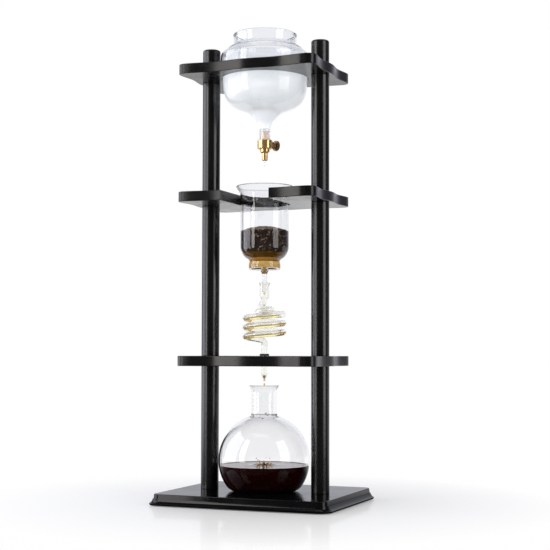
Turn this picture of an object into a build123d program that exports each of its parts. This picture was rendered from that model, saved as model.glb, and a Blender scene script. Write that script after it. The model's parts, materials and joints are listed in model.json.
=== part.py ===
from build123d import *
from math import cos, hypot, pi, radians, sin
import os

# Cold drip coffee tower, millimetres, +Z up. The origin is on the floor, under the centre of the base.
# The front is -Y. The posts, the vessel, the chamber, the spiral and the flask stand in the plane Y = 0.

# ---- wooden frame ----
BASE_LENGTH = 229.0
BASE_WIDTH = 184.0
BASE_CORNER_R = 15.5
BASE_BOTTOM = 1.0
BASE_TOP = 14.0
STEP_Z = 8.4
STEP_INSET = 5.2

SHELF_LENGTH = 176.4
SHELF_WIDTH = 135.6
SHELF_CORNER_R = 10.0
SHELF_THICKNESS = 12.2
LONG_WAVE = 3.4
SHORT_WAVE = 2.8
SHELF_EDGE_R = 0.8
LOWER_SHELF_TOP = 177.0
MIDDLE_SHELF_TOP = 374.6
TOP_SHELF_TOP = 530.0

POST_X = 72.4
POST_R = 11.0
POST_TOP = 561.0
POST_END_CHAMFER = 0.4
CAP_EDGE_R = 2.4
CAP_DOME = 1.2

VESSEL_HOLE_R = 53.6
SLOT_R = 31.2
GROMMET_HOLE_R = 5.0

STUD_R = 3.0
STUD_DEPTH = 14.0
FIT_GAP = 0.02
RUNNING_GAP = 0.05
BOLT_HEAD_R = 6.0
BOLT_HEAD_H = 4.0
FOOT_R = 8.0
FOOT_RECESS = 0.8
FOOT_X = 92.0
FOOT_Y = 70.0

# ---- glass ----
VESSEL_WALL = 2.0
VESSEL_RIM_Z = 573.5
NECK_R = 38.7
NECK_RIM_R = 39.3
NECK_BOTTOM_Z = 560.6
STEM_R = 6.9
STEM_BOTTOM_Z = 442.5
STEM_WALL = 1.4

CHAMBER_WALL = 2.0
CHAMBER_RIM_R = 35.3
CHAMBER_RIM_Z = 385.0
CHAMBER_R = 29.6
CHAMBER_RING_R = 19.4
CHAMBER_RING_BOTTOM = 281.8
CHAMBER_WAIST_Z = 292.0
CHAMBER_WAIST_R = 18.4
OUTLET_R = 3.2
OUTLET_BORE_R = 2.1
OUTLET_TIP_Z = 254.8

TUBE_R = 3.8
TUBE_WALL = 1.1
FUNNEL_R = 5.9
FUNNEL_LIP_R = 7.0
FUNNEL_TOP_Z = 266.0
FUNNEL_NECK_Z = 245.6
LOOP_R = 8.4
LOOP_PITCH = 7.0
LOOP_TURNS = 0.75
LOOP_TOP_Z = 234.8
COIL_R = 23.1
COIL_PITCH = 11.0
COIL_TURNS = 2.5
COIL_FRONT_Z = 224.6
EXIT_DROP = 14.0
TIP_TAPER_Z = 155.0
TIP_Z = 149.6
TIP_R = 1.9

FLASK_WALL = 1.8
FLASK_R = 55.4
FLASK_CENTRE_Z = 51.0
FLASK_NECK_R = 15.6
FLASK_LIP_R = 18.6
FLASK_LIP_Z = 141.0
FLASK_LIP_START_Z = 133.0
REST_GAP = 0.02

# ---- filter ----
FILTER_R = 15.9
FILTER_BOTTOM = 294.5
FILTER_THICKNESS = 4.6
GASKET_BOTTOM = 293.2

# ---- drip valve, its spindle pointing away from the vessel's axis ----
SPINDLE_HEADING = 57.0
VALVE_R = 9.2
VALVE_BOTTOM = 430.9
VALVE_TOP = 442.4
SPINDLE_Z = 436.6
INLET_R = 3.6
INLET_TOP = 453.0
PASSAGE_R = 1.2
NOZZLE_COLLAR_R = 5.8
NOZZLE_COLLAR_BOTTOM = 426.0
NOZZLE_R = 3.5
NOZZLE_BOTTOM = 416.6
NOZZLE_BORE_R = 1.7
NOZZLE_SHANK_R = 3.0
NOZZLE_SHANK_H = 2.6
BOSS_R = 4.8
BOSS_END = 11.2
GLAND_R = 3.0
GLAND_START = 6.2
PACKING_END = 7.4
SPINDLE_R = 1.5
SPINDLE_END = 17.3
NUT_R = 4.3
NUT_END = 14.0
KNOB_R = 6.4
KNOB_START = 15.0
KNOB_END = 18.6
KNOB_FLUTES = 22
SCREW_HEAD_R = 2.3
SCREW_HEAD_H = 0.9
SCREW_R = 0.8
SCREW_DEPTH = 2.6


def turned(*edges):
    """A solid of revolution about Z, from edges that start and end on the axis in the plane Y = 0."""
    closing = Line(edges[-1].position_at(1), edges[0].position_at(0))
    return revolve(make_face([*edges, closing]), Axis.Z)


def at(radius, height):
    return Vector(radius, 0, height)


def post(x, bottom, top):
    """A round post section with a blind bore in each end for its studs."""
    body = Pos(x, 0, (bottom + top) / 2) * Cylinder(POST_R, top - bottom)
    body = chamfer(body.edges().filter_by(GeomType.CIRCLE), POST_END_CHAMFER)
    for end, direction in ((bottom, 1), (top, -1)):
        depth = STUD_DEPTH + 0.5
        body -= Pos(x, 0, end + direction * depth / 2) * Cylinder(STUD_R + FIT_GAP, depth)
    return body


def post_cap(x):
    """The short post end above the top shelf, with a rounded edge and a slightly domed top."""
    edge_z = POST_TOP - CAP_DOME - CAP_EDGE_R
    inner_r = POST_R - CAP_EDGE_R
    body = turned(
        Line(at(0, TOP_SHELF_TOP), at(POST_R, TOP_SHELF_TOP)),
        Line(at(POST_R, TOP_SHELF_TOP), at(POST_R, edge_z)),
        ThreePointArc(
            at(POST_R, edge_z),
            at(inner_r + CAP_EDGE_R * cos(pi / 4), edge_z + CAP_EDGE_R * sin(pi / 4)),
            at(inner_r, edge_z + CAP_EDGE_R),
        ),
        Spline(at(inner_r, edge_z + CAP_EDGE_R), at(0, POST_TOP), tangents=((-1, 0, 0.3), (-1, 0, 0))),
    )
    depth = STUD_DEPTH + 0.5
    body -= Pos(0, 0, TOP_SHELF_TOP + depth / 2) * Cylinder(STUD_R + FIT_GAP, depth)
    return Pos(x, 0, 0) * body


def wave_side(length, depth):
    """Points along one wavy side: crests at both ends and the middle, a shallow trough between."""
    count = 17
    points = []
    for i in range(count):
        s = -length / 2 + length * i / (count - 1)
        dip = depth * (1 - cos(4 * pi * (s + length / 2) / length)) / 2
        points.append((s, dip))
    return points


def shelf_outline():
    """The wavy outline: four wave sides joined by quarter arcs at the corners."""
    half_x = SHELF_LENGTH / 2
    half_y = SHELF_WIDTH / 2
    r = SHELF_CORNER_R
    long_side = wave_side(SHELF_LENGTH - 2 * r, LONG_WAVE)
    short_side = wave_side(SHELF_WIDTH - 2 * r, SHORT_WAVE)
    front = [(s, -half_y + dip) for s, dip in long_side]
    right = [(half_x - dip, s) for s, dip in short_side]
    back = [(-s, half_y - dip) for s, dip in long_side]
    left = [(-half_x + dip, -s) for s, dip in short_side]
    headings = (0, 90, 180, 270)
    edges = []
    for points, heading in zip((front, right, back, left), headings):
        along = (cos(radians(heading)), sin(radians(heading)))
        edges.append(Spline(*points, tangents=(along, along)))
        arc_start = radians(heading - 45)
        corner_sign = {0: (1, -1), 90: (1, 1), 180: (-1, 1), 270: (-1, -1)}[heading]
        centre = (corner_sign[0] * (half_x - r), corner_sign[1] * (half_y - r))
        middle = (centre[0] + r * cos(arc_start), centre[1] + r * sin(arc_start))
        following = (centre[0] + r * cos(radians(heading)), centre[1] + r * sin(radians(heading)))
        edges.append(ThreePointArc(points[-1], middle, following))
    return make_face(edges)


def shelf(top, cutter):
    """A shelf board with softened edges, a cut-out, and bores for the two post studs."""
    bottom = top - SHELF_THICKNESS
    board = Pos(0, 0, bottom) * extrude(shelf_outline(), SHELF_THICKNESS)
    rims = board.faces().sort_by(Axis.Z)[-1].edges() + board.faces().sort_by(Axis.Z)[0].edges()
    board = fillet(rims, SHELF_EDGE_R)
    board -= Pos(0, 0, bottom) * extrude(cutter, SHELF_THICKNESS)
    for x in (-POST_X, POST_X):
        board -= Pos(x, 0, top - SHELF_THICKNESS / 2) * Cylinder(STUD_R + FIT_GAP, SHELF_THICKNESS)
    return board


def slot_cutter():
    """The chamber's slot: a round back end, open to the front edge."""
    run = SHELF_WIDTH
    return Circle(SLOT_R) + Pos(0, -run / 2) * Rectangle(2 * SLOT_R, run)


def base_board():
    """The base: a flared lower moulding, a step, and a flat top with a softened edge."""
    path = RectangleRounded(BASE_LENGTH, BASE_WIDTH, BASE_CORNER_R).wire()
    start = path.position_at(0)
    inward = Vector(0, 0, 1).cross(path.tangent_at(0))
    if inward.dot(start) > 0:
        inward = -inward
    core_inset = BASE_CORNER_R - 2

    def rim(inset, z):
        return start + inward * inset + Vector(0, 0, z)

    top_edge_r = 0.9
    section = make_face(
        [
            Line(rim(core_inset, BASE_BOTTOM), rim(0.8, BASE_BOTTOM)),
            Line(rim(0.8, BASE_BOTTOM), rim(0, BASE_BOTTOM + 1.2)),
            Line(rim(0, BASE_BOTTOM + 1.2), rim(0, BASE_BOTTOM + 2.0)),
            ThreePointArc(rim(0, BASE_BOTTOM + 2.0), rim(2.6, 5.0), rim(STEP_INSET - 1.0, STEP_Z)),
            Line(rim(STEP_INSET - 1.0, STEP_Z), rim(STEP_INSET, STEP_Z)),
            Line(rim(STEP_INSET, STEP_Z), rim(STEP_INSET + 0.6, BASE_TOP - top_edge_r)),
            ThreePointArc(
                rim(STEP_INSET + 0.6, BASE_TOP - top_edge_r),
                rim(STEP_INSET + 0.6 + top_edge_r * 0.3, BASE_TOP - top_edge_r * 0.3),
                rim(STEP_INSET + 0.6 + top_edge_r, BASE_TOP),
            ),
            Line(rim(STEP_INSET + 0.6 + top_edge_r, BASE_TOP), rim(core_inset, BASE_TOP)),
            Line(rim(core_inset, BASE_TOP), rim(core_inset, BASE_BOTTOM)),
        ]
    )
    board = sweep(section, path)
    core_length = BASE_LENGTH - 2 * core_inset + 1
    core_width = BASE_WIDTH - 2 * core_inset + 1
    core = RectangleRounded(core_length, core_width, BASE_CORNER_R - core_inset + 0.5)
    board += Pos(0, 0, BASE_BOTTOM) * extrude(core, BASE_TOP - BASE_BOTTOM)
    for x in (-POST_X, POST_X):
        board -= Pos(x, 0, (BASE_BOTTOM + BASE_TOP) / 2) * Cylinder(STUD_R + FIT_GAP, BASE_TOP)
        head_h = BOLT_HEAD_H + 0.5
        board -= Pos(x, 0, BASE_BOTTOM + head_h / 2) * Cylinder(BOLT_HEAD_R + 0.5, head_h)
    for foot in foot_places():
        board -= foot * Pos(0, 0, BASE_BOTTOM + FOOT_RECESS / 2) * Cylinder(FOOT_R + FIT_GAP, FOOT_RECESS)
    return board


def foot_places():
    return [Pos(x, y, 0) for x in (-FOOT_X, FOOT_X) for y in (-FOOT_Y, FOOT_Y)]


def base_feet():
    """Four thin rubber pads set into shallow recesses under the base."""
    height = BASE_BOTTOM + FOOT_RECESS
    pad = Pos(0, 0, height / 2) * Cylinder(FOOT_R, height)
    pad = chamfer(pad.edges().sort_by(Axis.Z)[0], 0.3)
    return Compound([place * pad for place in foot_places()])


def base_bolts():
    """Two socket-head bolts up through the base into the lower posts."""
    bolts = []
    for x in (-POST_X, POST_X):
        seat = BASE_BOTTOM + 0.5
        shank_h = BASE_TOP + STUD_DEPTH - seat
        bolt = Pos(x, 0, seat + BOLT_HEAD_H / 2) * Cylinder(BOLT_HEAD_R, BOLT_HEAD_H)
        bolt += Pos(x, 0, seat + shank_h / 2) * Cylinder(STUD_R, shank_h)
        bolt -= Pos(x, 0, seat) * extrude(RegularPolygon(2.9, 6), 2.5)
        bolts.append(bolt)
    return Compound(bolts)


def shelf_studs():
    """Six double-ended studs, each through one shelf and into the post ends above and below it."""
    studs = []
    for top in (LOWER_SHELF_TOP, MIDDLE_SHELF_TOP, TOP_SHELF_TOP):
        for x in (-POST_X, POST_X):
            length = SHELF_THICKNESS + 2 * STUD_DEPTH
            stud = Pos(x, 0, top - SHELF_THICKNESS / 2) * Cylinder(STUD_R, length)
            studs.append(chamfer(stud.edges().filter_by(GeomType.CIRCLE), 0.5))
    return Compound(studs)


def shelf_grommet():
    """The rubber bush that carries the spiral's stem: a flange on the shelf and a plug in its hole."""
    flange_h = 2.6
    plug_h = SHELF_THICKNESS
    flange = Pos(0, 0, LOWER_SHELF_TOP + flange_h / 2) * Cylinder(5.8, flange_h)
    flange = fillet(flange.edges().sort_by(Axis.Z)[-1], 0.9)
    plug = Pos(0, 0, LOWER_SHELF_TOP - plug_h / 2) * Cylinder(GROMMET_HOLE_R - FIT_GAP, plug_h)
    bore = Pos(0, 0, LOWER_SHELF_TOP) * Cylinder(TUBE_R + RUNNING_GAP, 4 * plug_h)
    return flange + plug - bore


def water_vessel():
    """The open-necked water vessel: neck, shoulder, bowl and a narrow stem that takes the valve."""
    shoulder = [(NECK_R, NECK_BOTTOM_Z), (41.0, 558.2), (45.2, 555.9), (50.3, 551.0), (54.9, 540.0)]
    bowl = [
        (54.9, 540.0),
        (53.35, 530.0),
        (52.2, 515.0),
        (50.4, 500.0),
        (45.2, 489.4),
        (35.5, 482.5),
        (21.2, 476.6),
        (11.1, 466.8),
        (STEM_R, 455.0),
    ]
    rim_low = VESSEL_RIM_Z - 4.0
    rim_r = VESSEL_WALL / 2 + (NECK_RIM_R - NECK_R) / 2
    outer = turned(
        Line(at(0, VESSEL_RIM_Z), at(NECK_RIM_R - rim_r, VESSEL_RIM_Z)),
        ThreePointArc(
            at(NECK_RIM_R - rim_r, VESSEL_RIM_Z),
            at(NECK_RIM_R - rim_r * 0.3, VESSEL_RIM_Z - rim_r * 0.3),
            at(NECK_RIM_R, VESSEL_RIM_Z - rim_r),
        ),
        Spline(
            at(NECK_RIM_R, VESSEL_RIM_Z - rim_r),
            at(NECK_R, rim_low),
            tangents=((0, 0, -1), (0, 0, -1)),
        ),
        Line(at(NECK_R, rim_low), at(NECK_R, NECK_BOTTOM_Z)),
        Spline(*[at(*p) for p in shoulder], tangents=((0.2, 0, -1), (0, 0, -1))),
        Spline(*[at(*p) for p in bowl], tangents=((0, 0, -1), (0, 0, -1))),
        Line(at(STEM_R, 455.0), at(STEM_R, STEM_BOTTOM_Z)),
        Line(at(STEM_R, STEM_BOTTOM_Z), at(0, STEM_BOTTOM_Z)),
    )
    stem_inner = STEM_R - STEM_WALL
    inner = turned(
        Line(at(0, VESSEL_RIM_Z + 1), at(NECK_R - VESSEL_WALL, VESSEL_RIM_Z + 1)),
        Line(at(NECK_R - VESSEL_WALL, VESSEL_RIM_Z + 1), at(NECK_R - VESSEL_WALL, NECK_BOTTOM_Z - 1)),
        Spline(
            *wall_inside(shoulder, VESSEL_WALL, (NECK_R - VESSEL_WALL, NECK_BOTTOM_Z - 1)),
            tangents=((0.3, 0, -1), (0, 0, -1)),
        ),
        Spline(
            *wall_inside(bowl, VESSEL_WALL, (54.9 - VESSEL_WALL, 540.0), (stem_inner, 455.0)),
            tangents=((0, 0, -1), (0, 0, -1)),
        ),
        Line(at(stem_inner, 455.0), at(stem_inner, STEM_BOTTOM_Z - 1)),
        Line(at(stem_inner, STEM_BOTTOM_Z - 1), at(0, STEM_BOTTOM_Z - 1)),
    )
    return outer - inner


def wall_inside(points, wall, first=None, last=None):
    """The points moved inwards by the wall thickness, square to the run of the outline."""
    moved = []
    for i, (r, z) in enumerate(points):
        r0, z0 = points[max(i - 1, 0)]
        r1, z1 = points[min(i + 1, len(points) - 1)]
        length = hypot(r1 - r0, z1 - z0)
        moved.append(at(r + wall * (z1 - z0) / length, z - wall * (r1 - r0) / length))
    if first is not None:
        moved[0] = at(*first)
    else:
        moved[0] = at(points[0][0] - wall, points[0][1])
    if last is not None:
        moved[-1] = at(*last)
    else:
        moved[-1] = at(points[-1][0] - wall, points[-1][1])
    return moved


def coffee_chamber():
    """The coffee chamber: flared rim, straight wall, rounded taper, hollow base ring and outlet tube."""
    wall = CHAMBER_WALL
    flare = [(CHAMBER_RIM_R, CHAMBER_RIM_Z - 1), (31.6, 378.2), (CHAMBER_R, 368.0)]
    taper = [(CHAMBER_R, 311.0), (27.4, 302.4), (22.8, 296.8), (CHAMBER_WAIST_R, CHAMBER_WAIST_Z)]
    ring_mid = CHAMBER_RING_BOTTOM + 4.2
    outer = turned(
        Line(at(0, CHAMBER_RIM_Z), at(CHAMBER_RIM_R - 1, CHAMBER_RIM_Z)),
        ThreePointArc(
            at(CHAMBER_RIM_R - 1, CHAMBER_RIM_Z),
            at(CHAMBER_RIM_R - 0.3, CHAMBER_RIM_Z - 0.3),
            at(CHAMBER_RIM_R, CHAMBER_RIM_Z - 1),
        ),
        Spline(*[at(*p) for p in flare], tangents=((-0.6, 0, -1), (0, 0, -1))),
        Line(at(CHAMBER_R, 368.0), at(CHAMBER_R, 311.0)),
        Spline(*[at(*p) for p in taper], tangents=((0, 0, -1), (-0.2, 0, -1))),
        Spline(
            at(CHAMBER_WAIST_R, CHAMBER_WAIST_Z),
            at(CHAMBER_RING_R, ring_mid),
            at(CHAMBER_RING_R - 2.4, CHAMBER_RING_BOTTOM),
            tangents=((0.4, 0, -1), (-1, 0, -0.2)),
        ),
        Line(at(CHAMBER_RING_R - 2.4, CHAMBER_RING_BOTTOM), at(5.4, CHAMBER_RING_BOTTOM - 0.6)),
        Spline(
            at(5.4, CHAMBER_RING_BOTTOM - 0.6),
            at(4.3, CHAMBER_RING_BOTTOM - 2.4),
            at(OUTLET_R, CHAMBER_RING_BOTTOM - 5.0),
            tangents=((-0.6, 0, -1), (0, 0, -1)),
        ),
        Line(at(OUTLET_R, CHAMBER_RING_BOTTOM - 5.0), at(OUTLET_R, OUTLET_TIP_Z)),
        Line(at(OUTLET_R, OUTLET_TIP_Z), at(0, OUTLET_TIP_Z)),
    )
    floor_z = CHAMBER_RING_BOTTOM + wall
    throat_z = CHAMBER_WAIST_Z + 0.8
    throat_r = 17.0
    inner = turned(
        Line(at(0, CHAMBER_RIM_Z + 1), at(CHAMBER_RIM_R - wall + 0.4, CHAMBER_RIM_Z + 1)),
        Spline(
            at(CHAMBER_RIM_R - wall + 0.4, CHAMBER_RIM_Z + 1),
            at(31.6 - wall, 378.2),
            at(CHAMBER_R - wall, 368.0),
            tangents=((-0.6, 0, -1), (0, 0, -1)),
        ),
        Line(at(CHAMBER_R - wall, 368.0), at(CHAMBER_R - wall, 311.0)),
        Spline(
            at(CHAMBER_R - wall, 311.0),
            at(25.6, 303.6),
            at(20.8, 298.0),
            at(throat_r, throat_z),
            tangents=((0, 0, -1), (-1, 0, -1)),
        ),
        Line(at(throat_r, throat_z), at(CHAMBER_RING_R - wall, 288.4)),
        Line(at(CHAMBER_RING_R - wall, 288.4), at(CHAMBER_RING_R - 3.6, floor_z)),
        Line(at(CHAMBER_RING_R - 3.6, floor_z), at(OUTLET_BORE_R, floor_z - 1)),
        Line(at(OUTLET_BORE_R, floor_z - 1), at(OUTLET_BORE_R, OUTLET_TIP_Z - 1)),
        Line(at(OUTLET_BORE_R, OUTLET_TIP_Z - 1), at(0, OUTLET_TIP_Z - 1)),
    )
    slant = Pos(0, 0, OUTLET_TIP_Z - 8) * Rot(0, 25, 0) * Box(20, 20, 14)
    return outer - inner - slant


def filter_disc():
    """The porous ceramic disc under the coffee bed."""
    disc = Pos(0, 0, FILTER_BOTTOM + FILTER_THICKNESS / 2) * Cylinder(FILTER_R, FILTER_THICKNESS)
    return fillet(disc.edges().filter_by(GeomType.CIRCLE), 0.6)


def filter_gasket():
    """The silicone ring that holds the disc: a ledge under its rim and a wall around it."""
    bore = FILTER_R + FIT_GAP
    profile = [
        (bore - 2.0, GASKET_BOTTOM),
        (16.8, GASKET_BOTTOM),
        (18.3, GASKET_BOTTOM + 2.4),
        (18.3, GASKET_BOTTOM + 4.6),
        (bore, GASKET_BOTTOM + 4.6),
        (bore, FILTER_BOTTOM - FIT_GAP),
        (bore - 2.0, FILTER_BOTTOM - FIT_GAP),
    ]
    return revolve(make_face(Polyline(*[at(*p) for p in profile], close=True)), Axis.Z)


def spiral_runs():
    """The tube's centre line from top to bottom: entry bend, small loop, widening turn, coil, exit bend."""
    loop_fall = LOOP_PITCH / (2 * pi * LOOP_R)
    coil_fall = COIL_PITCH / (2 * pi * COIL_R)
    coil_top = COIL_FRONT_Z + COIL_PITCH / 4
    coil_bottom = coil_top - COIL_TURNS * COIL_PITCH
    loop_bottom = LOOP_TOP_Z - LOOP_TURNS * LOOP_PITCH

    neck = Vector(0, 0, FUNNEL_NECK_Z)
    loop_start = Vector(0, LOOP_R, LOOP_TOP_Z)
    entry = Bezier(
        neck,
        neck - Vector(0, 0, 6.1),
        Vector(-7.3, -2.3, LOOP_TOP_Z + 5.2),
        loop_start - Vector(1, 0, -loop_fall) * 7.8,
        loop_start,
    )
    loop = Pos(0, 0, loop_bottom) * Rot(0, 0, 180) * Helix(LOOP_PITCH, LOOP_TURNS * LOOP_PITCH, LOOP_R)

    loop_end = Vector(-LOOP_R, 0, loop_bottom)
    coil_start = Vector(COIL_R, 0, coil_top)
    widening = Bezier(
        loop_end,
        loop_end + Vector(0, 1, -loop_fall) * 12,
        coil_start - Vector(0, -1, -coil_fall) * 20,
        coil_start,
    )
    coil = Pos(0, 0, coil_bottom) * Rot(0, 0, 180) * Helix(COIL_PITCH, COIL_TURNS * COIL_PITCH, COIL_R)

    coil_end = Vector(-COIL_R, 0, coil_bottom)
    leave = Bezier(
        coil_end,
        coil_end + Vector(0, 1, -coil_fall) * 15,
        Vector(-10, 15, coil_bottom - 3.0),
        Vector(0, 5, coil_bottom - 3.2),
        Vector(0, 0, coil_bottom - 5.0),
        Vector(0, 0, coil_bottom - EXIT_DROP),
    )
    return [entry, loop, widening, coil, leave]


def hollow_run(path):
    """A glass tube along one stretch of the centre line."""
    start = Plane(origin=path.position_at(0), z_dir=path.tangent_at(0))
    return sweep(start * Circle(TUBE_R), path) - sweep(start * Circle(TUBE_R - TUBE_WALL), path)


def spiral_tube():
    """The glass spiral: a funnel mouth, the coiled tube and a straight stem with a tapered tip."""
    runs = spiral_runs()
    wall = TUBE_WALL
    bore = TUBE_R - wall
    stem_top = runs[-1].position_at(1).Z
    stem_outline = Polyline(
        at(bore, stem_top),
        at(TUBE_R, stem_top),
        at(TUBE_R, TIP_TAPER_Z),
        at(TIP_R, TIP_Z),
        at(TIP_R - 0.9, TIP_Z),
        at(bore, TIP_TAPER_Z),
        close=True,
    )
    tube = revolve(make_face(stem_outline), Axis.Z)
    for run in runs:
        tube += hollow_run(run)

    taper_z = FUNNEL_NECK_Z + 4
    lip_z = FUNNEL_TOP_Z - 3
    lip_bore = FUNNEL_LIP_R - wall + 0.3
    funnel_bore = FUNNEL_R - wall
    above = FUNNEL_TOP_Z + 0.5
    funnel = turned(
        Line(at(0, FUNNEL_TOP_Z), at(FUNNEL_LIP_R, FUNNEL_TOP_Z)),
        Spline(at(FUNNEL_LIP_R, FUNNEL_TOP_Z), at(FUNNEL_R, lip_z), tangents=((-1, 0, -1), (0, 0, -1))),
        Line(at(FUNNEL_R, lip_z), at(FUNNEL_R, taper_z)),
        Spline(at(FUNNEL_R, taper_z), at(TUBE_R, FUNNEL_NECK_Z), tangents=((0, 0, -1), (0, 0, -1))),
        Line(at(TUBE_R, FUNNEL_NECK_Z), at(0, FUNNEL_NECK_Z)),
    )
    funnel -= turned(
        Line(at(0, above), at(lip_bore, above)),
        Line(at(lip_bore, above), at(funnel_bore, lip_z)),
        Line(at(funnel_bore, lip_z), at(funnel_bore, taper_z)),
        Spline(at(funnel_bore, taper_z), at(bore, FUNNEL_NECK_Z), tangents=((0, 0, -1), (0, 0, -1))),
        Line(at(bore, FUNNEL_NECK_Z), at(bore, FUNNEL_NECK_Z - 1)),
        Line(at(bore, FUNNEL_NECK_Z - 1), at(0, FUNNEL_NECK_Z - 1)),
    )
    return tube + funnel


def receiving_flask():
    """The round flask: a sphere with a flat bottom, a straight neck and a flared lip."""
    wall = FLASK_WALL
    bottom_z = BASE_TOP + REST_GAP

    def body(radius, floor, flat_r, neck_r, lip_r, lip_z):
        corner_angle = radians(-34)
        low = at(radius * cos(corner_angle), FLASK_CENTRE_Z + radius * sin(corner_angle))
        neck_z = FLASK_CENTRE_Z + (radius**2 - (neck_r + 2.5) ** 2) ** 0.5
        low_tangent = (sin(corner_angle), 0, -cos(corner_angle))
        high = at(neck_r + 2.5, neck_z)
        return turned(
            Line(at(0, floor), at(flat_r, floor)),
            Spline(at(flat_r, floor), low, tangents=((1, 0, 0), [-v for v in low_tangent])),
            ThreePointArc(low, at(radius, FLASK_CENTRE_Z), high),
            Spline(high, at(neck_r, neck_z + 4), tangents=((-1, 0, 0.35), (0, 0, 1))),
            Line(at(neck_r, neck_z + 4), at(neck_r, FLASK_LIP_START_Z)),
            Spline(at(neck_r, FLASK_LIP_START_Z), at(lip_r, lip_z), tangents=((0, 0, 1), (0.8, 0, 1))),
            Line(at(lip_r, lip_z), at(0, lip_z)),
        )

    outer = body(FLASK_R, bottom_z, 33.0, FLASK_NECK_R, FLASK_LIP_R, FLASK_LIP_Z)
    inner = body(
        FLASK_R - wall,
        bottom_z + wall,
        32.0,
        FLASK_NECK_R - wall,
        FLASK_LIP_R - wall + 0.3,
        FLASK_LIP_Z + 0.5,
    )
    return outer - inner


def along_spindle(part):
    """Place a part drawn along +X from the vessel's axis at the spindle's height and heading."""
    return Pos(0, 0, SPINDLE_Z) * Rot(0, 0, SPINDLE_HEADING) * part


def bar(radius, start, end):
    """A round bar along +X."""
    return Pos((start + end) / 2, 0, 0) * Rot(0, 90, 0) * Cylinder(radius, end - start)


def valve_sleeve():
    """The silicone sleeve that seals the valve's inlet tube in the vessel's stem."""
    height = INLET_TOP - 0.6 - VALVE_TOP - 0.1
    middle = VALVE_TOP + 0.1 + height / 2
    sleeve = Pos(0, 0, middle) * Cylinder(STEM_R - STEM_WALL - FIT_GAP, height)
    return sleeve - Pos(0, 0, middle) * Cylinder(INLET_R + FIT_GAP, 2 * height)


def valve_body():
    """The turned brass body: inlet tube above, gland boss to the side, passage through the middle."""
    height = VALVE_TOP - VALVE_BOTTOM
    body = Pos(0, 0, VALVE_BOTTOM + height / 2) * Cylinder(VALVE_R, height)
    body = chamfer(body.edges().filter_by(GeomType.CIRCLE), 1.0)
    body += Pos(0, 0, (VALVE_TOP + INLET_TOP) / 2 - 1) * Cylinder(INLET_R, INLET_TOP - VALVE_TOP + 2)
    body += along_spindle(bar(BOSS_R, 0, BOSS_END))
    body -= Pos(0, 0, (VALVE_BOTTOM + INLET_TOP) / 2) * Cylinder(PASSAGE_R, INLET_TOP - VALVE_BOTTOM + 2)
    body -= along_spindle(bar(SPINDLE_R + RUNNING_GAP, 0, BOSS_END + 1))
    body -= along_spindle(bar(GLAND_R, GLAND_START, BOSS_END + 1))
    socket_h = NOZZLE_SHANK_H + 0.2
    body -= Pos(0, 0, VALVE_BOTTOM + socket_h / 2) * Cylinder(NOZZLE_SHANK_R + FIT_GAP, socket_h)
    return body


def valve_nozzle():
    """The screwed-in nozzle: a tapered collar and a straight drip tube."""
    collar_top = VALVE_BOTTOM - FIT_GAP
    shank_top = VALVE_BOTTOM + NOZZLE_SHANK_H
    nozzle = turned(
        Line(at(0, shank_top), at(NOZZLE_SHANK_R, shank_top)),
        Line(at(NOZZLE_SHANK_R, shank_top), at(NOZZLE_SHANK_R, collar_top)),
        Line(at(NOZZLE_SHANK_R, collar_top), at(NOZZLE_COLLAR_R, collar_top)),
        Line(at(NOZZLE_COLLAR_R, collar_top), at(NOZZLE_COLLAR_R, NOZZLE_COLLAR_BOTTOM + 1.4)),
        Line(at(NOZZLE_COLLAR_R, NOZZLE_COLLAR_BOTTOM + 1.4), at(NOZZLE_R + 0.6, NOZZLE_COLLAR_BOTTOM)),
        Line(at(NOZZLE_R + 0.6, NOZZLE_COLLAR_BOTTOM), at(NOZZLE_R, NOZZLE_COLLAR_BOTTOM)),
        Line(at(NOZZLE_R, NOZZLE_COLLAR_BOTTOM), at(NOZZLE_R, NOZZLE_BOTTOM + 0.8)),
        Line(at(NOZZLE_R, NOZZLE_BOTTOM + 0.8), at(NOZZLE_R - 0.8, NOZZLE_BOTTOM)),
        Line(at(NOZZLE_R - 0.8, NOZZLE_BOTTOM), at(0, NOZZLE_BOTTOM)),
    )
    return nozzle - Pos(0, 0, VALVE_BOTTOM) * Cylinder(NOZZLE_BORE_R, 60)


def packing_ring():
    """The soft ring at the bottom of the gland."""
    ring = bar(GLAND_R - FIT_GAP, GLAND_START + FIT_GAP, PACKING_END)
    return along_spindle(ring - bar(SPINDLE_R + RUNNING_GAP, 0, SPINDLE_END))


def packing_nut():
    """The gland nut: a shank in the boss and a hexagon outside it."""
    nut = bar(GLAND_R - FIT_GAP, PACKING_END + FIT_GAP, BOSS_END + 0.5)
    hexagon = extrude(RegularPolygon(NUT_R, 6), NUT_END - BOSS_END - RUNNING_GAP)
    nut += Pos(BOSS_END + RUNNING_GAP, 0, 0) * Rot(0, 90, 0) * hexagon
    return along_spindle(nut - bar(SPINDLE_R + RUNNING_GAP, 0, SPINDLE_END))


def needle_spindle():
    """The needle: a round spindle with a conical tip that closes the passage."""
    tip_start = 0.6
    shoulder = 3.4
    profile = [
        (tip_start, 0),
        (shoulder, SPINDLE_R - 0.1),
        (SPINDLE_END - 0.3, SPINDLE_R - 0.1),
        (SPINDLE_END, SPINDLE_R - 0.4),
        (SPINDLE_END, 0),
    ]
    outline = Polyline(*[Vector(x, y, 0) for x, y in profile], close=True)
    spindle = revolve(make_face(outline), Axis.X)
    screw_start = KNOB_END - SCREW_DEPTH - 0.4
    spindle -= bar(SCREW_R + RUNNING_GAP, screw_start, SPINDLE_END + 1)
    return along_spindle(spindle)


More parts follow.
